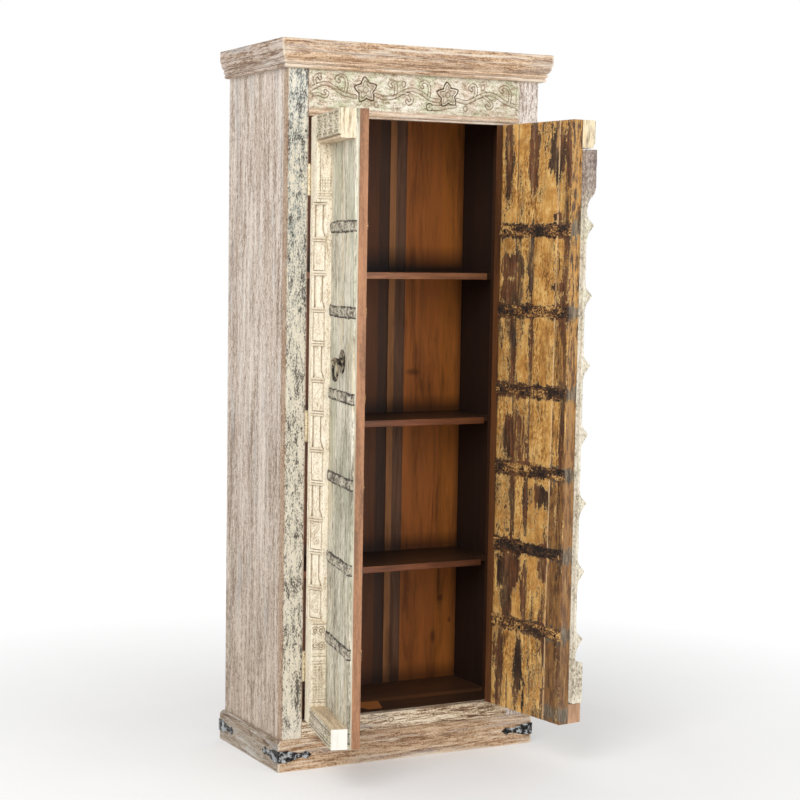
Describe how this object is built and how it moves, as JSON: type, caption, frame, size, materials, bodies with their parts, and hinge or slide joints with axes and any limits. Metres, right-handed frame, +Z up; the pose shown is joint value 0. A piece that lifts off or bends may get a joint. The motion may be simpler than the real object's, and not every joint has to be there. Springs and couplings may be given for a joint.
{
  "type": "cabinet",
  "caption": "Tall two-door storage cabinet of reclaimed timber with shelves, carved weathered door leaves, iron straps, ring pulls, a moulded cornice and a strapped plinth.",
  "frame": {"origin": "on the floor, under the middle of the face of the cabinet", "axes": "+X to the right across the front, +Y back into the cabinet, +Z up; at rest both doors stand open"},
  "size_m": [0.81, 0.7041, 1.9],
  "materials": {
    "whitewashed_wood": "whitewashed, worn",
    "inside_wood": "waxed, dark",
    "cream_wood": "worn cream paint on carving",
    "green_wood": "faded grey-green paint",
    "reddish_wood": "oiled",
    "ochre_wood": "flaking ochre paint over dark wood",
    "iron": "hammered, blackened",
    "brass": "dull"
  },
  "bodies": {
    "cabinet": {"side_panel_left": "whitewashed_wood", "side_panel_right": "whitewashed_wood", "top_board": "whitewashed_wood", "floor_board": "inside_wood", "shelf_lower": "inside_wood", "shelf_middle": "inside_wood", "shelf_upper": "inside_wood", "back_planks": "inside_wood", "stile_left": "whitewashed_wood", "stile_right": "whitewashed_wood", "jamb_left": "inside_wood", "jamb_right": "inside_wood", "bottom_rail": "whitewashed_wood", "frieze_board": "cream_wood", "frieze_bead": "whitewashed_wood", "cornice_front": "whitewashed_wood", "cornice_left": "whitewashed_wood", "cornice_right": "whitewashed_wood", "plinth_front": "whitewashed_wood", "plinth_left": "whitewashed_wood", "plinth_right": "whitewashed_wood", "plinth_back": "whitewashed_wood", "corner_strap_front_left": "iron", "corner_strap_front_right": "iron", "corner_strap_back_left": "iron", "corner_strap_back_right": "iron", "left_frame_hinges": "brass", "right_frame_hinges": "brass", "left_hinge_pins": "brass", "right_hinge_pins": "brass"},
    "left_door": {"left_door_stile": "cream_wood", "left_door_top_rail": "cream_wood", "left_door_bottom_rail": "cream_wood", "left_door_planks": "green_wood", "left_door_hinge_lipping": "reddish_wood", "left_door_backing": "ochre_wood", "left_door_front_straps": "iron", "left_door_back_straps": "iron", "left_door_hinges": "brass", "left_door_free_lipping": "reddish_wood", "left_pull_plate": "iron", "left_pull_boss": "iron"},
    "right_door": {"right_door_stile": "cream_wood", "right_door_top_rail": "cream_wood", "right_door_bottom_rail": "cream_wood", "right_door_planks": "green_wood", "right_door_hinge_lipping": "reddish_wood", "right_door_backing": "ochre_wood", "right_door_front_straps": "iron", "right_door_back_straps": "iron", "right_door_hinges": "brass", "right_door_astragal": "cream_wood", "right_pull_plate": "iron", "right_pull_boss": "iron"},
    "left_ring": {"left_pull_ring": "iron"},
    "right_ring": {"right_pull_ring": "iron"}
  },
  "joints": [
    {"name": "left_door_hinge", "type": "hinge", "parent": "cabinet", "child": "left_door", "pos_m": [-0.31525, -0.0049, 0.912], "axis": [0, 0, 1], "range_deg": [-71.5, 103.5]},
    {"name": "right_door_hinge", "type": "hinge", "parent": "cabinet", "child": "right_door", "pos_m": [0.31525, -0.0049, 0.912], "axis": [0, 0, -1], "range_deg": [-78, 97]},
    {"name": "left_ring_hinge", "type": "hinge", "parent": "left_door", "child": "left_ring", "pos_m": [-0.33815, -0.21125, 1.0907], "axis": [0.2334, 0.9724, 0], "range_deg": [-15, 180]},
    {"name": "right_ring_hinge", "type": "hinge", "parent": "right_door", "child": "right_ring", "pos_m": [0.31465, -0.21252, 1.0907], "axis": [0.1219, -0.9925, 0], "range_deg": [-15, 180]}
  ]
}
